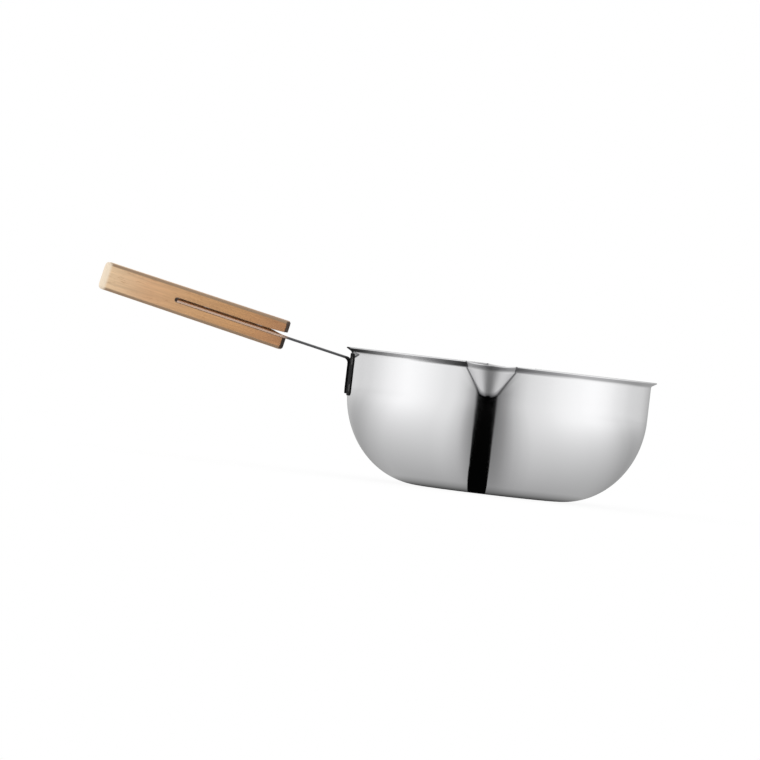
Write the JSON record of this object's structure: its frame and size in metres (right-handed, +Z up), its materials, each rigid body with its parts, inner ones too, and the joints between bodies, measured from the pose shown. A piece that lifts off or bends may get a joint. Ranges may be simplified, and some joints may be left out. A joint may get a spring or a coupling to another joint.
{
  "type": "pouring saucepan",
  "caption": "Single-handled steel saucepan: round-cornered bowl with a flared lip and opposed pouring spouts, a bent strap bracket and a slotted wooden handle.",
  "frame": {"origin": "centre of the flat underside of the bowl, on the surface it stands on", "axes": "+Z up along the bowl's axis, the handle points along -X, the pouring spouts point along -Y and +Y"},
  "size_m": [0.3431, 0.208, 0.112],
  "materials": {
    "polished_steel": "polished stainless sheet, mirror-like outside and satin inside",
    "satin_steel": "satin stainless strip",
    "weld_steel": "dull weld spots with a faint heat tint",
    "screw_steel": "bright stainless screws",
    "oiled_beech": "sanded and oiled beech, grain along the handle"
  },
  "bodies": {
    "root": {"pot_body": "polished_steel", "seat_plate": "satin_steel", "handle_strap": "satin_steel", "spot_weld_1": "weld_steel", "spot_weld_2": "weld_steel", "spot_weld_3": "weld_steel", "spot_weld_4": "weld_steel", "spot_weld_5": "weld_steel", "spot_weld_6": "weld_steel", "spot_weld_7": "weld_steel", "spot_weld_8": "weld_steel", "wooden_handle": "oiled_beech", "handle_screw_front": "screw_steel", "handle_screw_rear": "screw_steel"}
  },
  "joints": []
}
